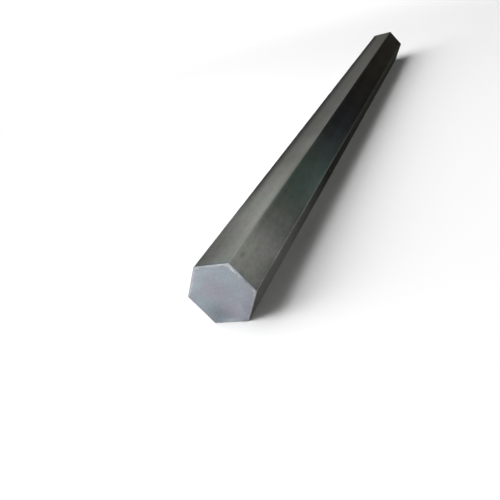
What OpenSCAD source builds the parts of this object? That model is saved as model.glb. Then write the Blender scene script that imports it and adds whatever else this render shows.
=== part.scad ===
// A length of cold-drawn hexagonal bar, sawn square at both ends.
// It lies on one of its flats along Y, with the origin under its middle and Z up.

/* [Bar] */
// Width of the hexagon across two opposite flats
across_flats = 46; // [20:1:80]
// Length of the bar from one sawn end to the other
bar_length = 750; // [200:50:3000]

/* [Edges] */
// Radius that the drawing die leaves on the six long corners
corner_radius = 1.2; // [0.4:0.1:3]
// Width and depth of the 45 degree bevel that takes the burr off each sawn end
edge_break = 0.8; // [0.2:0.1:2]

/* [Hidden] */
sides = 6;
side_angle = 360 / sides;
// What is left flat on each side, between the lines where two rounded corners begin
flat_width = (across_flats - 2 * corner_radius) * tan(side_angle / 2);
// How far from the bar's axis a corner's radius is struck
corner_reach = (across_flats / 2 - corner_radius) / cos(side_angle / 2);
// Anything this wide reaches past the corners on both sides
past_corners = 2 * across_flats;
$fn = 96;

// The bar's section: three strips between opposite flats, and the six rounded corners between them
module section() {
    for (i = [0:sides / 2 - 1])
        rotate(i * side_angle)
            square([flat_width, across_flats], center = true);
    for (i = [0:sides - 1])
        rotate((i + 0.5) * side_angle - 90)
            translate([corner_reach, 0])
                circle(r = corner_radius);
}

// A large square block that stands on its edge and runs across the bar.
// Its four faces lie at 45 degrees, and cut the bevels of two opposite flats at both ends.
module bevel_faces(turn) {
    half_diagonal = (across_flats + bar_length) / 2 - edge_break;
    block = half_diagonal * sqrt(2);
    rotate(turn)
        rotate([45, 0, 0])
            cube([past_corners, block, block], center = true);
}

module hex_bar() {
    color([0.56, 0.56, 0.54])
        translate([0, 0, across_flats / 2])
            rotate([-90, 0, 0])
                intersection() {
                    linear_extrude(height = bar_length, center = true) section();
                    bevel_faces(0);
                    bevel_faces(side_angle);
                    bevel_faces(2 * side_angle);
                }
}

hex_bar();
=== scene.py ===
"""A cold-drawn stainless steel hexagonal bar on a pale studio floor.

The bar lies along Y on one of its flats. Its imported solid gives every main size. This script gives it a
finely divided surface with ragged bevels, drawn flats and sawn ends, and sets up the floor, light and camera.
"""
import math
from collections import namedtuple

import bpy
import numpy as np
from mathutils import Matrix, Vector, noise


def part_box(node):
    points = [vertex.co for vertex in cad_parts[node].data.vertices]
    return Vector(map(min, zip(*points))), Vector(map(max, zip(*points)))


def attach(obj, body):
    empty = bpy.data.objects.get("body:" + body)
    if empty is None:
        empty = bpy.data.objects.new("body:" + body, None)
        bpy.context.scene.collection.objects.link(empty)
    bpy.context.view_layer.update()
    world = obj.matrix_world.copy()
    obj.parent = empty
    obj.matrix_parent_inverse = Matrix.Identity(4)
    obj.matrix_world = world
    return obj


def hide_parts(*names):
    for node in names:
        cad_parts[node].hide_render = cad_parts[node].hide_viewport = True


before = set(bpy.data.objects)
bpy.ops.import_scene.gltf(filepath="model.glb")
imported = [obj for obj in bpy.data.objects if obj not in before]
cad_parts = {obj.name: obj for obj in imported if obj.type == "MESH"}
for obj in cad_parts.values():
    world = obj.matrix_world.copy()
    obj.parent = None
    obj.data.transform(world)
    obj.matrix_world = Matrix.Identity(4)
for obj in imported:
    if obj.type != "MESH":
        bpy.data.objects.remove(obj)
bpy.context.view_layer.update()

MM = 0.001

# Sizes of the bar, read from its solid
lowest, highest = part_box("hex_bar")
ACROSS_FLATS = highest.z - lowest.z
ACROSS_CORNERS = highest.x - lowest.x
LENGTH = highest.y - lowest.y
AXIS_Z = (highest.z + lowest.z) / 2
SIDES = 6
SIDE_ANGLE = math.tau / SIDES
# Direction of the corner under the section's left side, from X towards Z
FIRST_CORNER = math.radians(240)
# Width of a side between the sharp corners that the section would have without its rounding
SIDE = ACROSS_FLATS / math.sqrt(3)
HALF_SIDE = SIDE / 2
# A sharp hexagon reaches this much further than its half width, and rounding takes part of that away
SHARPNESS = 1 / math.cos(SIDE_ANGLE / 2)
CORNER_R = (ACROSS_FLATS * SHARPNESS - ACROSS_CORNERS) / (2 * SHARPNESS - 2)
CORNER_REACH = (ACROSS_FLATS / 2 - CORNER_R) * SHARPNESS
# Width and depth of the bevel round each end, as the solid has it
EDGE_BREAK = 0.8 * MM

# How finely the surface is divided
FLAT_CELLS = 26
CORNER_CELLS = 8
BEVEL_CELLS = 4
END_RINGS = 16
FINEST_STEP = 0.25 * MM
LONGEST_STEP = 3.9 * MM
STEP_GROWTH = 1.35
# Rings of an end, as shares of its size: a small one round the middle, and close together at the rim
END_SHARES = [0.02] + [math.sin(math.pi / 2 * (i / END_RINGS)) for i in range(1, END_RINGS)] + [0.993, 1.0]

# Small departures of the real surface from the true form, all of them inwards
FLAT_HOLLOW = 0.03 * MM
WAVE_DEPTH = 0.035 * MM
WAVE_ALONG = 70 * MM
WAVE_ACROSS = 30 * MM
# The flats keep their true form up to here from an end, and reach their full depth this much further on
TRUE_NEAR_END = 2.4 * EDGE_BREAK
SINKS_WITHIN = 6 * EDGE_BREAK
RAGGED_DEPTH = 0.22 * MM
RAGGED_PITCH = 2.6 * MM
RAGGED_SEED = 10.0
SAW_STEP_DEPTH = 0.03 * MM
SAW_STEP_PITCH = 3.4 * MM
SAW_STEP_LENGTH = 9 * SAW_STEP_PITCH
SAW_STEP_SEED = 3.0
# Outer share of an end in which the saw's steps fade out
SAW_STEP_MARGIN = 1 / 8
# The bevel is this much of the way from a flat one to a round edge, as a file or a brush leaves it
BEVEL_ROUNDING = 0.25

# Where the surface lies on its map: the drawn skin on the left, the two ends stacked on the right
MAP_MARGIN = 0.006
END_MAP_HEIGHT = 0.5 - 1.5 * MAP_MARGIN
END_MAP_SCALE = END_MAP_HEIGHT / (ACROSS_CORNERS + EDGE_BREAK)
END_MAP_WIDTH = END_MAP_SCALE * (ACROSS_FLATS + EDGE_BREAK)
SKIN_MAP_WIDTH = 1 - 3 * MAP_MARGIN - END_MAP_WIDTH
SKIN_MAP_HEIGHT = 1 - 2 * MAP_MARGIN

MATERIAL_OF_BAND = {"skin": 0, "end": 1, "bevel": 2}

# Round the section: each point's place on the hexagon through the corners' centres, the direction in which
# the surface lies from there, how far round it is, with the whole way round at the end of the list, and
# how far across its flat, from 0 to 1
Section = namedtuple("Section", "cores normals around across")
# A ring of points round the bar: its place along the bar, its points across the bar and, for an end only,
# the same points unrolled as the end's part of the map shows them
Ring = namedtuple("Ring", "y points unrolled")


def smooth(x):
    """0 below 0, 1 above 1 and an even S between them."""
    x = np.clip(x, 0, 1)
    return x * x * (3 - 2 * x)


def perlin(points):
    """Smooth noise between about -1 and 1 at each of an array's points."""
    return np.fromiter((noise.noise(Vector(p)) for p in points), float, len(points))


def direction(angle):
    """The unit vector at an angle from X towards Z."""
    return np.array([math.cos(angle), math.sin(angle)])


def outline():
    """The bar's section, clockwise as seen from the near end, from its first corner."""
    cores, normals, across = [], [], []
    half = CORNER_CELLS // 2
    for side in range(SIDES):
        corner = FIRST_CORNER - side * SIDE_ANGLE
        middle = corner - SIDE_ANGLE / 2
        here = CORNER_REACH * direction(corner)
        there = CORNER_REACH * direction(corner - SIDE_ANGLE)
        for i in range(half):
            cores.append(here)
            normals.append(direction(corner - SIDE_ANGLE / 2 * i / half))
            across.append(0)
        for i in range(FLAT_CELLS):
            cores.append(here + (there - here) * i / FLAT_CELLS)
            normals.append(direction(middle))
            across.append(i / FLAT_CELLS)
        for i in range(half):
            cores.append(there)
            normals.append(direction(middle - SIDE_ANGLE / 2 * i / half))
            across.append(1)
    cores, normals = np.array(cores), np.array(normals)
    surface = cores + CORNER_R * normals
    steps = np.linalg.norm(np.roll(surface, -1, axis=0) - surface, axis=1)
    return Section(cores, normals, np.concatenate([[0], np.cumsum(steps)]), np.array(across))


def places_along():
    """Where rings of points round the skin lie, from the inner edge of one bevel to that of the other."""
    steps = [FINEST_STEP]
    while steps[-1] * STEP_GROWTH < LONGEST_STEP:
        steps.append(steps[-1] * STEP_GROWTH)
    ends = np.concatenate([[0], np.cumsum(steps)])
    half = LENGTH / 2 - EDGE_BREAK
    plain = 2 * (half - ends[-1])
    count = math.ceil(plain / LONGEST_STEP)
    middle = np.linspace(ends[-1] - half, half - ends[-1], count + 1)[1:-1]
    return np.concatenate([ends - half, middle, half - ends[::-1]])


def bevel_widths(section, sign):
    """How wide the bevel is at each point round an end, where the saw left it ragged."""
    rim = section.cores + section.normals * CORNER_R
    at = np.column_stack([rim, np.full(len(rim), sign * RAGGED_SEED)])
    return EDGE_BREAK - RAGGED_DEPTH * smooth(0.5 + perlin(at / RAGGED_PITCH))


def saw_steps(points, share, sign):
    """How deep the blade's steps lie in one ring of an end."""
    at = np.column_stack([points[:, 0] / SAW_STEP_LENGTH,
                          points[:, 1] / SAW_STEP_PITCH,
                          np.full(len(points), sign * SAW_STEP_SEED)])
    return SAW_STEP_DEPTH * smooth(0.5 + perlin(at)) * smooth((1 - share) / SAW_STEP_MARGIN)


def bevel_ring(section, widths, t, sign):
    """A ring of the bevel, t of the way from the end's flat to the skin."""
    plain = (1 - BEVEL_ROUNDING) * t
    out = plain + BEVEL_ROUNDING * math.sin(t * math.pi / 2)
    back = plain + BEVEL_ROUNDING * (1 - math.cos(t * math.pi / 2))
    points = section.cores + section.normals * (CORNER_R - widths * (1 - out))[:, None]
    slope = math.sqrt(2) * t * widths
    unrolled = section.cores + section.normals * (CORNER_R - widths + slope)[:, None]
    return Ring(sign * (LENGTH / 2 - widths * back), points, unrolled)


def end_rings(section, sign):
    """A sawn end and its bevel, from the middle outwards. sign is -1 at the near end and 1 at the far one."""
    widths = bevel_widths(section, sign)
    inner = section.cores + section.normals * (CORNER_R - widths)[:, None]
    rings = []
    for share in END_SHARES:
        points = inner * share
        rings.append(Ring(sign * (LENGTH / 2 - saw_steps(points, share, sign)), points, points))
    for i in range(1, BEVEL_CELLS + 1):
        rings.append(bevel_ring(section, widths, i / BEVEL_CELLS, sign))
    return rings


def skin_rings(section):
    """The drawn skin between the bevels, with flats that are a little hollow and wavy."""
    surface = section.cores + section.normals * CORNER_R
    arch = 4 * section.across * (1 - section.across)
    rings = []
    for y in places_along()[1:-1]:
        at = np.column_stack([surface / WAVE_ACROSS, np.full(len(surface), y / WAVE_ALONG)])
        waves = WAVE_DEPTH * smooth(0.5 + perlin(at)) * np.sqrt(arch)
        share = smooth((LENGTH / 2 - abs(y) - TRUE_NEAR_END) / SINKS_WITHIN)
        sunk = share * (FLAT_HOLLOW * arch + waves)
        rings.append(Ring(y, section.cores + section.normals * (CORNER_R - sunk)[:, None], None))
    return rings


def bar_rings(section):
    """The rings from the near end's middle to the far one's, and the kind of band between each two."""
    rings = end_rings(section, -1) + skin_rings(section) + end_rings(section, 1)[::-1]
    end = ["end"] * (len(END_SHARES) - 1) + ["bevel"] * BEVEL_CELLS
    skin = ["skin"] * (len(rings) - 1 - 2 * len(end))
    return rings, end + skin + end[::-1]


def ring_verts(ring):
    """A ring's points in space."""
    y = np.broadcast_to(ring.y, len(ring.points))
    return np.column_stack([ring.points[:, 0], y, ring.points[:, 1] + AXIS_Z])


def skin_map(ring, section):
    """A ring's points on the skin's part of the map, with the first one again at the seam."""
    y = np.broadcast_to(ring.y, len(section.cores))
    u = MAP_MARGIN + section.around / section.around[-1] * SKIN_MAP_WIDTH
    v = MAP_MARGIN + (np.append(y, y[0]) + LENGTH / 2) / LENGTH * SKIN_MAP_HEIGHT
    return np.column_stack([u, v])


def end_map(unrolled, sign):
    """Points on an end's part of the map. The end lies on its side, so that saw marks run up the map."""
    low = MAP_MARGIN if sign < 0 else END_MAP_HEIGHT + 2 * MAP_MARGIN
    u = 1 - MAP_MARGIN - END_MAP_WIDTH / 2 + unrolled[:, 1] * END_MAP_SCALE
    v = low + END_MAP_HEIGHT / 2 + sign * unrolled[:, 0] * END_MAP_SCALE
    return np.column_stack([u, v])


def band_map(band, ring, section, sign):
    """A ring's points on the map, with the first one again, as a band beside the ring shows them."""
    if band == "skin":
        return skin_map(ring, section)
    mapped = end_map(ring.unrolled, sign)
    return np.concatenate([mapped, mapped[:1]])


def band_faces(i, count, near, far):
    """The faces between ring i and the next one, and their corners' places on the map."""
    faces, places = [], []
    for j in range(count):
        k = (j + 1) % count
        faces.append([i * count + j, (i + 1) * count + j, (i + 1) * count + k, i * count + k])
        places += [near[j], far[j], far[j + 1], near[j + 1]]
    return faces, places


def middle_faces(i, count, centre, mapped, sign):
    """The triangles between an end's smallest ring and its middle, and their corners' places on the map."""
    faces, places = [], []
    middle = end_map(np.zeros((1, 2)), sign)[0]
    for j in range(count):
        a, b = (j, j + 1) if sign < 0 else (j + 1, j)
        faces.append([centre, i * count + a % count, i * count + b % count])
        places += [middle, mapped[a], mapped[b]]
    return faces, places


def bar_mesh():
    """The bar's closed surface, with its map."""
    section = outline()
    rings, bands = bar_rings(section)
    count = len(section.cores)
    faces, places, slots = [], [], []

    def add(band, parts):
        faces.extend(parts[0])
        places.extend(parts[1])
        slots.extend([MATERIAL_OF_BAND[band]] * len(parts[0]))

    for i, band in enumerate(bands):
        sign = -1 if i < len(rings) / 2 else 1
        near, far = (band_map(band, ring, section, sign) for ring in rings[i:i + 2])
        add(band, band_faces(i, count, near, far))
    for sign, i, centre in ((-1, 0, len(rings) * count), (1, len(rings) - 1, len(rings) * count + 1)):
        mapped = band_map("end", rings[i], section, sign)
        add("end", middle_faces(i, count, centre, mapped, sign))

    centres = np.array([[0, -LENGTH / 2, AXIS_Z], [0, LENGTH / 2, AXIS_Z]])
    verts = np.concatenate([ring_verts(ring) for ring in rings] + [centres])
    mesh = bpy.data.meshes.new("hex_bar_surface")
    mesh.from_pydata(verts.tolist(), [], faces)
    mesh.polygons.foreach_set("material_index", slots)
    mesh.polygons.foreach_set("use_smooth", [True] * len(faces))
    layer = mesh.uv_layers.new(name="OFBake")
    layer.uv.foreach_set("vector", np.array(places, np.float32).ravel())
    mesh.validate()
    mesh.update()
    return mesh


def linear(red, green, blue):
    """A colour given as it shows on screen, from 0 to 255, in the numbers that shaders take."""
    def one(c):
        c /= 255
        return c / 12.92 if c <= 0.04045 else ((c + 0.055) / 1.055) ** 2.4
    return one(red), one(green), one(blue), 1.0


def grey(level):
    return level, level, level, 1.0


class Nodes:
    """Short calls that add nodes to a tree. Each gives its node's first output."""

    def __init__(self, tree):
        self.tree = tree
        tree.nodes.clear()

    def add(self, kind, inputs=None, **settings):
        """Adds a node, with links or values for its inputs, and gives the node itself."""
        node = self.tree.nodes.new(kind)
        for key, value in settings.items():
            setattr(node, key, value)
        for key, value in (inputs or {}).items():
            self.fill(node.inputs[key], value)
        return node

    def fill(self, socket, value):
        if isinstance(value, bpy.types.NodeSocket):
            self.tree.links.new(value, socket)
        else:
            socket.default_value = value

    def math(self, operation, a, b=0.0, c=0.0):
        return self.add("ShaderNodeMath", {0: a, 1: b, 2: c}, operation=operation).outputs[0]

    def sum(self, start, *terms):
        """start, plus each term's gain times how far its value is from the middle."""
        for value, gain in terms:
            start = self.math("ADD", start, self.math("MULTIPLY", self.math("SUBTRACT", value, 0.5), gain))
        return start

    def place(self):
        return self.add("ShaderNodeTexCoord").outputs["Object"]

    def split(self, vector):
        return self.add("ShaderNodeSeparateXYZ", {0: vector}).outputs

    def noise(self, vector, per_metre, detail=2.0, roughness=0.5):
        """Noise whose grains are 1 / per_metre long, given as one number for X, Y and Z or as three."""
        scale = per_metre if isinstance(per_metre, tuple) else (per_metre,) * 3
        moved = self.add("ShaderNodeVectorMath", {0: vector, 1: scale}, operation="MULTIPLY").outputs[0]
        found = self.add("ShaderNodeTexNoise", {"Vector": moved, "Scale": 1.0, "Detail": detail,
                                                "Roughness": roughness})
        return found.outputs["Fac"]

    def between(self, value, low, high, to_low=0.0, to_high=1.0):
        """value's place between low and high, as an even S from to_low to to_high."""
        return self.add("ShaderNodeMapRange", {"Value": value, "From Min": low, "From Max": high,
                                               "To Min": to_low, "To Max": to_high},
                        interpolation_type="SMOOTHSTEP").outputs[0]

    def ramp(self, value, stops):
        node = self.add("ShaderNodeValToRGB", {0: value})
        elements = node.color_ramp.elements
        while len(elements) < len(stops):
            elements.new(0.5)
        for element, (at, colour) in zip(elements, stops):
            element.position = at
            element.color = colour
        return node.outputs[0]

    def mix(self, share, a, b, blend="MIX"):
        node = self.add("ShaderNodeMix", data_type="RGBA", blend_type=blend, clamp_factor=True)
        # The node's inputs for colours come after those for numbers and vectors
        for index, value in ((0, share), (6, a), (7, b)):
            self.fill(node.inputs[index], value)
        return node.outputs[2]

    def times(self, colour, value):
        if isinstance(colour, tuple):
            colour = colour[:3]
        return self.add("ShaderNodeVectorMath", {0: colour, "Scale": value}, operation="SCALE").outputs[0]


def new_material(name):
    """A material, and the calls that fill its node tree."""
    material = bpy.data.materials.new(name)
    material.use_nodes = True
    return material, Nodes(material.node_tree)


def metal(name, dress, anisotropy):
    """A metal whose colour, roughness and height come from dress, which takes the nodes and a place."""
    material, n = new_material(name)
    colour, rough, height, depth = dress(n, n.place())
    bump = n.add("ShaderNodeBump", {"Strength": 1.0, "Distance": depth, "Height": height})
    tangent = n.add("ShaderNodeTangent", direction_type="UV_MAP", uv_map="OFBake")
    shader = n.add("ShaderNodeBsdfPrincipled", {
        "Base Color": colour, "Metallic": 1.0, "Roughness": rough, "Anisotropic": anisotropy,
        "Normal": bump.outputs[0], "Tangent": tangent.outputs[0]})
    n.add("ShaderNodeOutputMaterial", {"Surface": shader.outputs[0]})
    return material


def mark(x, y, z, reach, gain):
    """A mark on the metal: its middle, its reach, and how much it changes what it marks.

    From the bar's middle, x counts in half sides of the hexagon, y in lengths of the bar and z in widths
    across flats, so that an upper corner is at x 1 or -1 and z 0.5, and the right one at x 2 and z 0.
    reach is in millimetres along X, Y and Z.
    """
    middle = (x * HALF_SIDE, y * LENGTH, AXIS_Z + z * ACROSS_FLATS)
    return middle, tuple(r * MM for r in reach), gain


def below_top(depth):
    """A mark's z at this many millimetres below the top flat."""
    return 0.5 - depth * MM / ACROSS_FLATS


# So long a reach, in millimetres, that a mark's place along the bar doesn't count
ALWAYS = 100 * LENGTH / MM


def end_mark(x, z, reach, gain):
    """A mark that both ends have, with its reach along X and Z."""
    return mark(x, 0, z, (reach[0], ALWAYS, reach[1]), gain)


def marked(n, place, value, marks):
    """A value changed by each mark: by its whole gain at its middle and not at all beyond its reach."""
    for middle, reach, gain in marks:
        apart = n.add("ShaderNodeVectorMath", {0: place, 1: middle}, operation="SUBTRACT").outputs[0]
        scaled = n.add("ShaderNodeVectorMath", {0: apart, 1: reach}, operation="DIVIDE").outputs[0]
        length = n.add("ShaderNodeVectorMath", {0: scaled}, operation="LENGTH").outputs["Value"]
        value = n.math("MULTIPLY_ADD", n.between(length, 0.0, 1.0, 1.0, 0.0), gain, value)
    return value


# How far the right corner reaches, in half sides
RIGHT_TIP = ACROSS_CORNERS / SIDE

# Painted highlights on the drawn skin, and painted shade where the gain is below 0, besides a stain and a
# brighter patch round it
SKIN_PAINTED_LIGHT_AND_STAIN = [
    mark(0.82, -0.3, 0.5, (11, 1.2 * LENGTH / MM, 3), 0.38),         # a strip of the top flat, painted highlight
    mark(-1, 0, 0.5, (15, ALWAYS, 15), -0.38),                       # painted shade along the upper left corner
    mark(RIGHT_TIP, -0.5, 0, (16, 0.17 * LENGTH / MM, 16), -0.22),   # painted shade on the right corner, towards the near end
    mark(1.85, -0.265, 0.07, (10, 60, 10), 0.25),                    # painted highlight above the right corner
    mark(1.17, -0.475, below_top(3.5), (9, 42, 9), 0.34),            # a brighter patch round the stain
    mark(1.18, -0.4755, below_top(4.1), (2.9, 5.5, 2.9), -0.38),     # the stain
    mark(0, -0.252, 0.5, (30, 20, 12), -0.16),                       # painted shade in a band across the top flat
    mark(0.6, -0.195, 0.5, (14, 34, 9), 0.40),                       # painted highlight behind the band
    mark(1.45, -0.445, 0.27, (20, 38, 20), 0.15),                    # painted highlight on a patch of the upper right flat
    mark(1, -0.5, 0.5, (5, 70, 5), -0.12),                           # painted shade at the upper right corner's near end
    mark(0, -0.5, 0.5, (17, 16, 6), 0.15),                           # painted highlight at the top flat's near end
    mark(1.75, -0.40, 0.13, (14, 34, 14), -0.18),                    # painted shade on a patch of the upper right flat
    mark(2, -0.475, 0, (3.2, 62, 3.2), -0.18),                       # painted shade at the right corner's near end
    mark(2, -0.375, 0, (5, 45, 5), -0.30),                           # painted shade on the right corner behind that
    mark(1.5, -0.33, -0.25, (15, 85, 15), -0.30),                    # painted shade on a patch of the lower right flat
    mark(2, -0.24, 0, (3, 75, 3), 0.26),                             # painted highlight on the right corner
    mark(1, -0.28, 0.5, (4.5, 110, 4.5), -0.10),                     # painted shade on the upper right corner, a quarter along
]
# What tints the drawn skin mauve, or green where the gain is below 0
SKIN_HUES = [
    mark(1.5, -0.42, 0.20, (17, 70, 17), 0.24),
    mark(0.5, -0.37, 0.5, (14, 60, 9), -0.10),
]
SKIN_TINTS = [(0.32, linear(142, 148, 143)), (0.5, linear(145, 146, 140)), (0.68, linear(148, 146, 145))]
# Levels of noise between which a pit or a nick comes in, and how much it changes the skin's tone
PIT_LEVELS = (0.69, 0.78)
PIT_GAIN = -0.16
NICK_LEVELS = (0.73, 0.80)
NICK_GAIN = 0.16
# The blue margin beside the bevels: how far from an end it goes, how uneven it is, its gain and its tint
END_STAIN = 5 * MM
END_STAIN_UNEVEN = 6 * MM
END_STAIN_GAIN = -0.12
END_STAIN_TINT = linear(136, 148, 154)
SKIN_ROUGHNESS = 0.155
SKIN_BUMP = 0.0015 * MM

# Painted highlights on both ends, and painted shade where the gain is below 0
END_PAINTED_LIGHT = [
    end_mark(-0.60, -0.32, (21, 15), -0.32),
    end_mark(0.05, 0.02, (14, 12), -0.12),
    end_mark(1.45, -0.26, (10, 12), -0.20),
    end_mark(0.05, -0.47, (11, 3.5), 0.40),
    end_mark(1.75, -0.03, (7, 8), -0.10),
    end_mark(-0.6, 0.42, (17, 7), 0.13),
    end_mark(-1.45, 0.28, (11, 15), 0.16),
    end_mark(1, -0.5, (5, 5), -0.16),
    end_mark(-1, -0.5, (8, 8), -0.12),
]
# What tints an end mauve, or blue where the gain is below 0
END_HUES = [
    end_mark(-0.45, 0.12, (12, 12), 0.13),
    end_mark(0.45, -0.29, (11, 10), 0.10),
    end_mark(-1.1, -0.16, (11, 14), -0.18),
    end_mark(-1.25, 0.36, (8, 10), 0.16),
    end_mark(0.5, 0.32, (10, 9), -0.06),
    end_mark(-0.5, -0.37, (11, 8), -0.14),
]
END_TINTS = [(0.36, linear(148, 157, 165)), (0.5, linear(151, 156, 163)), (0.64, linear(156, 155, 166))]
# How far to the right of the bar's middle and how far below the floor the middle of the blade's arcs lies,
# and how close together they are
ARCS_RIGHT = 0.06
ARCS_BELOW = 0.2
ARCS_PER_METRE = 1200
END_ROUGHNESS = 0.46
END_BUMP = 0.004 * MM

# A ragged painted highlight just inside an end's edge. It fades out between these depths inside the edge,
# which longer and shorter waves of noise move
EDGE_HIGHLIGHT_REACHES = (0.1 * MM, 1.3 * MM)
EDGE_HIGHLIGHT_UNEVEN = 3.0 * MM
EDGE_HIGHLIGHT_RAGGED = 4.6 * MM
EDGE_HIGHLIGHT_GAIN = 0.32
EDGE_HIGHLIGHT_TINT = linear(157, 160, 163)
# What is added to a place's depth, in metres. Where it is below 0, the painted highlight reaches further in
EDGE_HIGHLIGHT_DEPTHS = [
    end_mark(1, 0.5, (17, 18), -0.9 * MM),
    end_mark(2, 0, (7, 7), -1.3 * MM),
    end_mark(-1, 0.5, (8, 8), -1.0 * MM),
    end_mark(-1.6, 0.2, (12, 14), -1.1 * MM),
    end_mark(1.8, 0.1, (6, 7), 0.8 * MM),
]
# Painted highlight added to the edge's painted highlight, or painted shade where the gain is below 0
EDGE_PAINTED_LIGHT = [
    end_mark(1.1, below_top(3), (12, 15), 1.50),
    end_mark(1.5, 0.25, (9, 11), 0.90),
    end_mark(2, 0, (6, 6), 0.70),
    end_mark(-1, 0.5, (6, 6), 0.80),
    end_mark(-1.6, 0.15, (10, 14), -0.10),
]

# Painted highlight on the bevel, and painted shade where the gain is below 0
RIM_PAINTED_LIGHT = [
    end_mark(0.7, 0.5, (19, 12), 0.20),
    end_mark(1.7, 0.15, (9, 13), -0.26),
    end_mark(1, -0.5, (6, 6), -0.25),
]
RIM_TONE = 0.72
RIM_TINT = linear(192, 195, 199)
RIM_ROUGHNESS = 0.38
RIM_BUMP = 0.010 * MM


def drawn_skin(n, place):
    """Cold-drawn steel: fine lines along the bar, soft blotches, painted highlights and painted shade, a few
    pits and a stain.
    """
    y = n.split(place)[1]
    lines = n.noise(place, (1500, 6, 1500), detail=2)
    streaks = n.noise(place, (330, 2.5, 330), detail=3)
    mottle = n.noise(place, (300, 200, 300), detail=2)
    blotches = n.noise(place, (105, 50, 105), detail=4, roughness=0.6)
    clouds = n.noise(place, (26, 8, 26), detail=3)
    tinges = n.noise(place, (75, 38, 75), detail=3)
    grain = n.noise(place, (650, 420, 650), detail=2)
    pits = n.between(n.noise(place, (700, 420, 700), detail=1), *PIT_LEVELS)
    nicks = n.between(n.noise(place, (520, 420, 520), detail=1), *NICK_LEVELS)
    to_end = n.math("SUBTRACT", LENGTH / 2, n.math("ABSOLUTE", y))
    to_end = n.math("MULTIPLY_ADD", n.math("SUBTRACT", blotches, 0.5), END_STAIN_UNEVEN, to_end)
    by_end = n.between(to_end, EDGE_BREAK, END_STAIN, 1.0, 0.0)
    tone = n.sum(1.0, (blotches, 0.40), (clouds, 0.26), (streaks, 0.22), (lines, 0.12),
                 (mottle, 0.34), (grain, 0.44))
    for share, gain in ((pits, PIT_GAIN), (nicks, NICK_GAIN), (by_end, END_STAIN_GAIN)):
        tone = n.math("MULTIPLY_ADD", share, gain, tone)
    # painted highlights and painted shade, and a stain, laid over the tone
    tone = marked(n, place, tone, SKIN_PAINTED_LIGHT_AND_STAIN)
    hue = marked(n, place, n.sum(0.5, (tinges, 0.8)), SKIN_HUES)
    tint = n.mix(by_end, n.ramp(hue, SKIN_TINTS), END_STAIN_TINT)
    rough = n.sum(SKIN_ROUGHNESS, (blotches, 0.06), (streaks, 0.06), (clouds, 0.04))
    height = n.sum(0.5, (lines, 0.3), (streaks, 1.6))
    return n.times(tint, tone), rough, height, SKIN_BUMP


def edge_depth(n, x, z):
    """How far a place on an end lies inside the nearest flat."""
    up = n.math("SUBTRACT", z, AXIS_Z)
    reach = n.math("ABSOLUTE", up)
    for sign in (1, -1):
        upwards = n.math("MULTIPLY", up, sign * math.cos(SIDE_ANGLE))
        slant = n.math("MULTIPLY_ADD", x, math.sin(SIDE_ANGLE), upwards)
        reach = n.math("MAXIMUM", reach, n.math("ABSOLUTE", slant))
    return n.math("SUBTRACT", ACROSS_FLATS / 2, reach)


def edge_highlight(n, place):
    """1 where the painted highlight lies just inside an end's edge."""
    x, _, z = n.split(place)[:3]
    waves = n.noise(place, 190, detail=2)
    ripples = n.noise(place, 520, detail=2)
    depth = n.sum(edge_depth(n, x, z), (waves, EDGE_HIGHLIGHT_UNEVEN), (ripples, EDGE_HIGHLIGHT_RAGGED))
    return n.between(marked(n, place, depth, EDGE_HIGHLIGHT_DEPTHS), *EDGE_HIGHLIGHT_REACHES, 1.0, 0.0)


def blade_arcs(n, place):
    """Noise in wide arcs across an end, as the blade leaves them."""
    x, _, z = n.split(place)[:3]
    across = n.math("POWER", n.math("SUBTRACT", x, ARCS_RIGHT), 2.0)
    up = n.math("POWER", n.math("ADD", z, ARCS_BELOW), 2.0)
    radius = n.math("SQRT", n.math("ADD", across, up))
    found = n.add("ShaderNodeTexNoise", {"W": n.math("MULTIPLY", radius, ARCS_PER_METRE), "Scale": 1.0,
                                         "Detail": 3.0}, noise_dimensions="1D")
    return found.outputs["Fac"]


def sawn_end(n, place):
    """A sawn and lightly ground end: faint blade arcs under a fine matte grain, with painted highlights and
    shade, and a painted highlight just inside its rim.
    """
    grain = n.noise(place, 950, detail=2)
    blotches = n.noise(place, 160, detail=4, roughness=0.6)
    clouds = n.noise(place, 62, detail=2)
    tinges = n.noise(place, 95, detail=2)
    arcs = blade_arcs(n, place)
    rim = edge_highlight(n, place)
    tone = n.sum(1.0, (blotches, 0.30), (clouds, 0.20), (grain, 0.36), (arcs, 0.14))
    # painted highlight just inside the rim, then painted highlights and painted shade over the end
    gain = n.math("MULTIPLY", marked(n, place, 1.0, EDGE_PAINTED_LIGHT), EDGE_HIGHLIGHT_GAIN)
    tone = marked(n, place, n.math("MULTIPLY_ADD", rim, gain, tone), END_PAINTED_LIGHT)
    hue = marked(n, place, n.sum(0.5, (tinges, 0.5)), END_HUES)
    tint = n.mix(rim, n.ramp(hue, END_TINTS), EDGE_HIGHLIGHT_TINT)
    rough = n.sum(END_ROUGHNESS, (blotches, 0.14), (arcs, 0.06))
    height = n.sum(0.5, (arcs, 1.0), (grain, 0.8))
    return n.times(tint, tone), rough, height, END_BUMP


def cut_rim(n, place):
    """The bevel round a sawn end: cut metal with file chatter, with a painted highlight at its top and
    painted shade at its right and its bottom.
    """
    chatter = n.noise(place, 900, detail=2)
    patches = n.noise(place, 230, detail=2)
    tone = marked(n, place, n.sum(RIM_TONE, (chatter, 0.40), (patches, 0.50)), RIM_PAINTED_LIGHT)
    rough = n.sum(RIM_ROUGHNESS, (patches, 0.20))
    return n.times(RIM_TINT, tone), rough, chatter, RIM_BUMP


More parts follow.
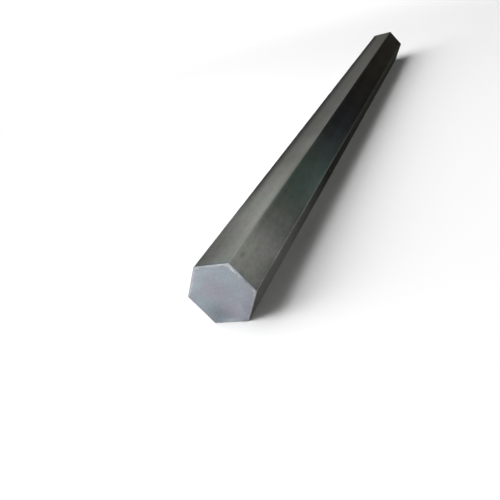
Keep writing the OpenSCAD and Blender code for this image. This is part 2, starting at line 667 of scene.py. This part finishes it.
def build_bar():
    """The bar, with its materials in the order that MATERIAL_OF_BAND gives."""
    bar = bpy.data.objects.new("hex_bar_surface", bar_mesh())
    bpy.context.collection.objects.link(bar)
    for material in (metal("drawn_stainless", drawn_skin, anisotropy=0.6),
                     metal("sawn_stainless", sawn_end, anisotropy=0.3),
                     metal("cut_rim", cut_rim, anisotropy=0.0)):
        bar.data.materials.append(material)
    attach(bar, "root")
    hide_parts("hex_bar")


# The camera of the photograph, by how it stands to the near end: in sides of the hexagon from that
# end's centre, with X to the right, Y along the bar and Z up
PHOTO_SIDE_PX = 500
CAMERA_AT = (7.3116, -11.5133, 7.0321)
CAMERA_LOOKS = (-0.42780, 0.80559, -0.40988)
CAMERA_ROLL = math.radians(-16.97)
FOCAL_PX = 602.0
SENSOR_MM = 36
CAMERA_CLIPS = (0.01, 100)


def camera_axes():
    """The camera's own axes: right, up and backwards. The roll is the angle of its right one to level."""
    looks = Vector(CAMERA_LOOKS).normalized()
    level = looks.cross(Vector((0, 0, 1))).normalized()
    upright = level.cross(looks)
    turn = math.asin(math.sin(CAMERA_ROLL) / upright.z)
    right = level * math.cos(turn) + upright * math.sin(turn)
    return Matrix((right, right.cross(looks), -looks)).transposed().to_4x4()


def build_camera():
    near_end = Vector((0, -LENGTH / 2, AXIS_Z))
    data = bpy.data.cameras.new("camera")
    data.sensor_width = SENSOR_MM
    data.lens = FOCAL_PX / PHOTO_SIDE_PX * SENSOR_MM
    data.clip_start, data.clip_end = CAMERA_CLIPS
    camera = bpy.data.objects.new("camera", data)
    camera.matrix_world = Matrix.Translation(near_end + Vector(CAMERA_AT) * SIDE) @ camera_axes()
    bpy.context.collection.objects.link(camera)
    bpy.context.scene.camera = camera


FLOOR_RADIUS = 14.0
FLOOR_SEGMENTS = 96
FLOOR_COLOUR = 0.95
FLOOR_ROUGHNESS = 0.9
# Distances from the bar's middle between which the floor turns into plain white, for the rays that show it
FLOOR_FADES = (0.45, 1.3)

# The open world's light on dull surfaces from the left and from the right, and between which X of a
# direction it changes
FILL_LEFT = 0.9
FILL_RIGHT = 0.05
FILL_TURNS = (-0.5, 0.3)

# A dark glowing flag behind the bar's far end, which only the metal shows, so that its tones are painted
# reflections. Its tones go by the compass, in degrees to the right of the bar's own direction, and it fades
# into white towards its top.
FLAG_RADIUS = 6.0
FLAG_HEIGHT = 6.5
FLAG_FADES_FROM = 3.6
FLAG_COLUMNS = 48
FLAG_TONES = [
    (-60, (1.00, 1.00, 1.00)), (-36, (0.42, 0.42, 0.42)), (-31, (0.48, 0.49, 0.48)),
    (-27, (0.61, 0.62, 0.60)), (-24, (0.46, 0.46, 0.44)), (-21, (0.31, 0.31, 0.30)),
    (-19, (0.25, 0.25, 0.24)), (-13, (0.19, 0.19, 0.18)), (-9, (0.13, 0.12, 0.11)),
    (0, (0.035, 0.034, 0.032)), (17, (0.014, 0.012, 0.007)), (22, (0.014, 0.014, 0.028)),
    (25, (0.062, 0.087, 0.105)), (28, (0.093, 0.166, 0.196)), (31, (0.108, 0.130, 0.114)),
    (33, (0.19, 0.21, 0.19)), (34.5, (0.36, 0.38, 0.36)), (38, (0.44, 0.45, 0.43)),
    (44, (0.48, 0.48, 0.47)), (62, (1.00, 1.00, 1.00)),
]
# To the right of these directions the flag gets paler upwards, which only the rounded corners show
PALE_TURNS = (-12, -5)
PALE_HEIGHTS = (0.75, 3.2)
PALE_TONE = 0.52
# From the first to the second direction a warm tint comes in above the flag's foot, and from the third to
# the fourth it goes out again
WARM_TURNS = (12, 18, 26.5, 31.5)
WARM_HEIGHTS = (0.61, 0.91)
WARM_TINT = (1.0, 0.86, 0.40, 1.0)

# A dark glowing card on the floor to the bar's right, where its lower right flat and right corner look, which
# paints dark reflections there. It comes in along a slanting line behind the near end, gets paler to the
# right and goes out there.
CARD_X = (0.013, 0.7)
CARD_Y = (-0.45 * LENGTH, 3 * LENGTH)
CARD_Z = 0.4 * MM
CARD_STARTS = (-0.41 * LENGTH, -0.18 * LENGTH)
CARD_SLANT = 1.0
CARD_ENDS = (0.45, 0.65)
CARD_PALER = (0.02, 0.12)
CARD_TONES = ((0.018, 0.018, 0.016, 1.0), (0.26, 0.255, 0.185, 1.0))

# A low dark glowing strip along the bar's upper left corner that fades upwards, which paints a dark
# reflection along that corner
STRIP_X = -HALF_SIDE - 1.5 * MM
STRIP_Y = (-0.42 * LENGTH, 0.52 * LENGTH)
STRIP_STARTS = (-0.41 * LENGTH, -0.31 * LENGTH)
STRIP_HEIGHT = 10 * MM
STRIP_TONE = 0.02
STRIP_SHARE = 0.85


def new_object(name, verts, faces, material):
    """An object with a mesh of the same name, in the scene."""
    mesh = bpy.data.meshes.new(name)
    mesh.from_pydata(verts, [], faces)
    mesh.materials.append(material)
    thing = bpy.data.objects.new(name, mesh)
    bpy.context.collection.objects.link(thing)
    return thing


def background_rays(n):
    """1 for rays that show the background itself: the camera's, and those in metal and glass."""
    path = n.add("ShaderNodeLightPath")
    found = n.math("MAXIMUM", path.outputs["Is Camera Ray"], path.outputs["Is Glossy Ray"])
    return n.math("MAXIMUM", found, path.outputs["Is Transmission Ray"])


def glow(n, colour, share=None):
    """Ends a tree in plain light, which is clear where share is 0."""
    surface = n.add("ShaderNodeEmission", {"Color": colour, "Strength": 1.0}).outputs[0]
    if share is not None:
        clear = n.add("ShaderNodeBsdfTransparent").outputs[0]
        surface = n.add("ShaderNodeMixShader", {0: share, 1: clear, 2: surface}).outputs[0]
    n.add("ShaderNodeOutputMaterial", {"Surface": surface})


def only_in_metal(thing):
    """Marks part of the set that only the metal shows: it shades nothing and the camera misses it."""
    thing.visible_camera = False
    thing.visible_diffuse = False
    thing.visible_shadow = False
    thing.visible_transmission = False


def build_floor():
    material, n = new_material("pale_floor")
    shader = n.add("ShaderNodeBsdfPrincipled", {
        "Base Color": grey(FLOOR_COLOUR), "Roughness": FLOOR_ROUGHNESS, "Specular IOR Level": 0.0})
    white = n.add("ShaderNodeEmission", {"Color": grey(1.0), "Strength": 1.0})
    x, y, _ = n.split(n.place())[:3]
    away = n.math("SQRT", n.math("ADD", n.math("POWER", x, 2.0), n.math("POWER", y, 2.0)))
    share = n.math("MULTIPLY", background_rays(n), n.between(away, *FLOOR_FADES))
    both = n.add("ShaderNodeMixShader", {0: share, 1: shader.outputs[0], 2: white.outputs[0]})
    n.add("ShaderNodeOutputMaterial", {"Surface": both.outputs[0]})
    angles = [math.tau * i / FLOOR_SEGMENTS for i in range(FLOOR_SEGMENTS)]
    rim = [(FLOOR_RADIUS * math.cos(a), FLOOR_RADIUS * math.sin(a), lowest.z) for a in angles]
    new_object("floor", rim, [list(range(FLOOR_SEGMENTS))], material)


def flag_colour(n, first, last):
    """The flag's colour: by the compass between its first and last direction, and by height."""
    x, y, z = n.split(n.place())[:3]
    turn = n.math("ARCTAN2", x, y)
    share = n.math("DIVIDE", n.math("SUBTRACT", turn, math.radians(first)), math.radians(last - first))
    reflected = n.ramp(share, [((at - first) / (last - first), tone + (1.0,)) for at, tone in FLAG_TONES])
    starts, full, falls, ends = (math.radians(a) for a in WARM_TURNS)
    warm = n.math("MULTIPLY", n.between(turn, starts, full), n.between(turn, falls, ends, 1.0, 0.0))
    warm = n.math("MULTIPLY", warm, n.between(z, *WARM_HEIGHTS))
    reflected = n.mix(warm, reflected, n.mix(1.0, reflected, WARM_TINT, "MULTIPLY"))
    paler = n.math("MULTIPLY", n.between(z, *PALE_HEIGHTS), n.between(turn, *map(math.radians, PALE_TURNS)))
    reflected = n.mix(paler, reflected, grey(PALE_TONE))
    return n.mix(n.between(z, FLAG_FADES_FROM, FLAG_HEIGHT), reflected, grey(1.0))


def build_flag():
    first, last = FLAG_TONES[0][0], FLAG_TONES[-1][0]
    verts = []
    for i in range(FLAG_COLUMNS + 1):
        turn = math.radians(first + (last - first) * i / FLAG_COLUMNS)
        x, y = FLAG_RADIUS * math.sin(turn), FLAG_RADIUS * math.cos(turn)
        verts += [(x, y, 0), (x, y, FLAG_HEIGHT)]
    faces = [[2 * i, 2 * i + 2, 2 * i + 3, 2 * i + 1] for i in range(FLAG_COLUMNS)]
    material, n = new_material("painted_reflection_flag")
    glow(n, flag_colour(n, first, last))
    only_in_metal(new_object("flag", verts, faces, material))


def build_card():
    material, n = new_material("painted_reflection_card")
    x, y, _ = n.split(n.place())[:3]
    slanted = n.math("MULTIPLY_ADD", x, -CARD_SLANT, y)
    share = n.math("MULTIPLY", n.between(slanted, *CARD_STARTS), n.between(x, *CARD_ENDS, 1.0, 0.0))
    glow(n, n.mix(n.between(x, *CARD_PALER), *CARD_TONES), share)
    (left, right), (front, back) = CARD_X, CARD_Y
    verts = [(left, front, CARD_Z), (right, front, CARD_Z), (right, back, CARD_Z), (left, back, CARD_Z)]
    only_in_metal(new_object("card", verts, [(0, 1, 2, 3)], material))


def build_strip():
    low, high = highest.z, highest.z + STRIP_HEIGHT
    front, back = STRIP_Y
    material, n = new_material("painted_reflection_strip")
    _, y, z = n.split(n.place())[:3]
    share = n.math("MULTIPLY", n.between(y, *STRIP_STARTS), n.between(z, low, high, STRIP_SHARE, 0.0))
    glow(n, grey(STRIP_TONE), share)
    verts = [(STRIP_X, front, low), (STRIP_X, back, low), (STRIP_X, back, high), (STRIP_X, front, high)]
    only_in_metal(new_object("strip", verts, [(0, 1, 2, 3)], material))


def build_world():
    """White where the background shows, and a fill from the left on everything dull."""
    world = bpy.data.worlds.new("studio")
    bpy.context.scene.world = world
    world.use_nodes = True
    n = Nodes(world.node_tree)
    x = n.split(n.add("ShaderNodeTexCoord").outputs["Generated"])[0]
    fill = n.between(x, *FILL_TURNS, FILL_LEFT, FILL_RIGHT)
    sees = background_rays(n)
    strength = n.math("ADD", n.math("MULTIPLY", n.math("SUBTRACT", 1.0, sees), fill), sees)
    light = n.add("ShaderNodeBackground", {"Color": grey(1.0), "Strength": strength})
    n.add("ShaderNodeOutputWorld", {"Surface": light.outputs[0]})


def soft_box(name, at, size, watts, shows):
    """A square lamp that faces the middle of the bar, and shows in its metal or doesn't."""
    data = bpy.data.lights.new(name, "AREA")
    data.size = size
    data.energy = watts
    lamp = bpy.data.objects.new(name, data)
    lamp.location = at
    lamp.rotation_euler = (-Vector(at)).to_track_quat("-Z", "Y").to_euler()
    lamp.visible_camera = False
    lamp.visible_glossy = shows
    bpy.context.collection.objects.link(lamp)


bpy.context.scene.view_settings.view_transform = "Standard"
build_bar()
build_camera()
build_floor()
build_flag()
build_card()
build_strip()
build_world()
soft_box("key_light", at=(-1.4, -0.65, 1.35), size=2.3, watts=57, shows=False)
soft_box("strip_light", at=(-1.5, -1.3, 1.1), size=1.1, watts=3.0, shows=True)

bpy.context.view_layer.update()
